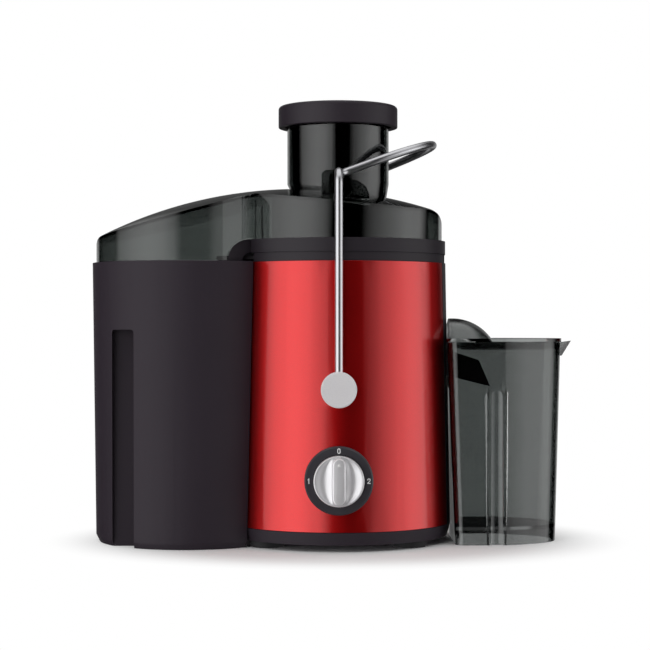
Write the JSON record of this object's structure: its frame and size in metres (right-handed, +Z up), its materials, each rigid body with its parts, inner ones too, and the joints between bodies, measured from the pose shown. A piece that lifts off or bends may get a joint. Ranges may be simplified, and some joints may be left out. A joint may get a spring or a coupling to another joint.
{
  "type": "centrifugal juicer",
  "caption": "Upright centrifugal juicer with painted steel wrap, see-through lid and feed tube, wire clamp bail, pulp container and juice jug.",
  "frame": {"origin": "on the worktop, under the drive axis, in the plane of the feet", "axes": "+Z up along the drive axis; +X towards the juice jug, -X towards the pulp container; -Y towards the control knob, so +Y points to the cord outlet at the back"},
  "size_m": [0.339, 0.1816, 0.3066],
  "materials": {
    "red_wrap": "satin metallic red paint on sheet steel",
    "black_housing": "fine matt black moulding",
    "black_base": "matt black moulding",
    "black_rubber": "soft black rubber",
    "zinc_screw": "zinc-plated steel",
    "bezel_black": "satin black moulding",
    "white_print": "white print",
    "satin_silver": "satin silver finish",
    "hub_grey": "pale silver-grey paint",
    "spindle_steel": "turned steel",
    "ivory_plastic": "natural engineering plastic",
    "lead_wire": "insulated wire",
    "bearing_steel": "ground bearing steel",
    "bracket_zinc": "die-cast alloy",
    "copper": "drawn copper",
    "winding": "varnished copper winding",
    "brass": "drawn brass",
    "carbon": "pressed carbon",
    "lamination": "stacked steel sheets",
    "bowl_black": "fine matt black moulding",
    "basket_plastic": "dark grey moulding",
    "strainer_steel": "perforated stainless steel",
    "smoke_lid": "see-through smoke-grey plastic",
    "smoke_jug": "see-through smoke-grey plastic",
    "pusher_black": "glossy black moulding",
    "cap_black": "fine matt black moulding",
    "steel_wire": "polished stainless wire",
    "container_black": "fine matt black moulding"
  },
  "bodies": {
    "motor_unit": {"base_plate": "black_base", "feet": "black_rubber", "base_screws": "zinc_screw", "inner_housing": "black_housing", "motor_deck": "black_housing", "body_wrap": "red_wrap", "cord_gland": "black_rubber", "terminal_block": "ivory_plastic", "internal_leads": "lead_wire", "knob_bezel": "bezel_black", "dial_numerals": "white_print", "speed_switch": "ivory_plastic", "lower_bracket": "bracket_zinc", "lower_bearing": "bearing_steel", "brush_holders": "brass", "carbon_brushes": "carbon", "brush_springs": "spindle_steel", "stator_core": "lamination", "stator_coils": "winding", "upper_bracket": "bracket_zinc", "upper_bearing": "bearing_steel", "motor_screws": "zinc_screw", "rubber_mounts": "black_rubber", "mount_screws": "zinc_screw", "shaft_seal": "black_rubber", "juice_bowl": "bowl_black", "juice_spout": "bowl_black", "lid": "smoke_lid", "pivot_bushes": "brass", "interlock_switch": "carbon"},
    "drive": {"motor_shaft": "spindle_steel", "cooling_fan": "ivory_plastic", "commutator": "copper", "armature_core": "lamination", "armature_windings": "winding", "drive_coupling": "ivory_plastic", "basket_hub": "basket_plastic", "strainer_basket": "strainer_steel", "basket_rim": "basket_plastic", "grater_disc": "strainer_steel"},
    "control": {"control_knob": "satin_silver", "knob_pointer": "white_print", "knob_spindle": "spindle_steel"},
    "bail": {"wire_bail": "steel_wire", "pivot_hubs": "hub_grey", "pivot_pins": "spindle_steel", "interlock_cam": "ivory_plastic"},
    "pusher": {"pusher_body": "pusher_black", "pusher_cap": "cap_black"},
    "container": {"pulp_container": "container_black"},
    "jug": {"jug_body": "smoke_jug"},
    "jug_cover": {"jug_lid": "smoke_jug"}
  },
  "joints": [
    {"name": "drive_spin", "type": "hinge", "parent": "motor_unit", "child": "drive", "pos_m": [0, 0, 0.1], "axis": [0, 0, 1], "continuous": true},
    {"name": "bail_swing", "type": "hinge", "parent": "motor_unit", "child": "bail", "pos_m": [0, 0, 0.1088], "axis": [0, -1, 0], "range_deg": [-95, 0]},
    {"name": "knob_turn", "type": "hinge", "parent": "motor_unit", "child": "control", "pos_m": [0, -0.085, 0.0482], "axis": [0, 1, 0], "range_deg": [-90, 90]},
    {"name": "pusher_lift", "type": "slide", "parent": "motor_unit", "child": "pusher", "axis": [0, 0, 1], "range_m": [0, 0.13]},
    {"name": "container_slide", "type": "slide", "parent": "motor_unit", "child": "container", "axis": [-1, 0, 0], "range_m": [0, 0.15]},
    {"name": "jug_slide", "type": "slide", "parent": "motor_unit", "child": "jug", "axis": [1, 0, 0], "range_m": [0, 0.12]},
    {"name": "jug_lid_lift", "type": "slide", "parent": "jug", "child": "jug_cover", "axis": [0, 0, 1], "range_m": [0, 0.06]}
  ]
}
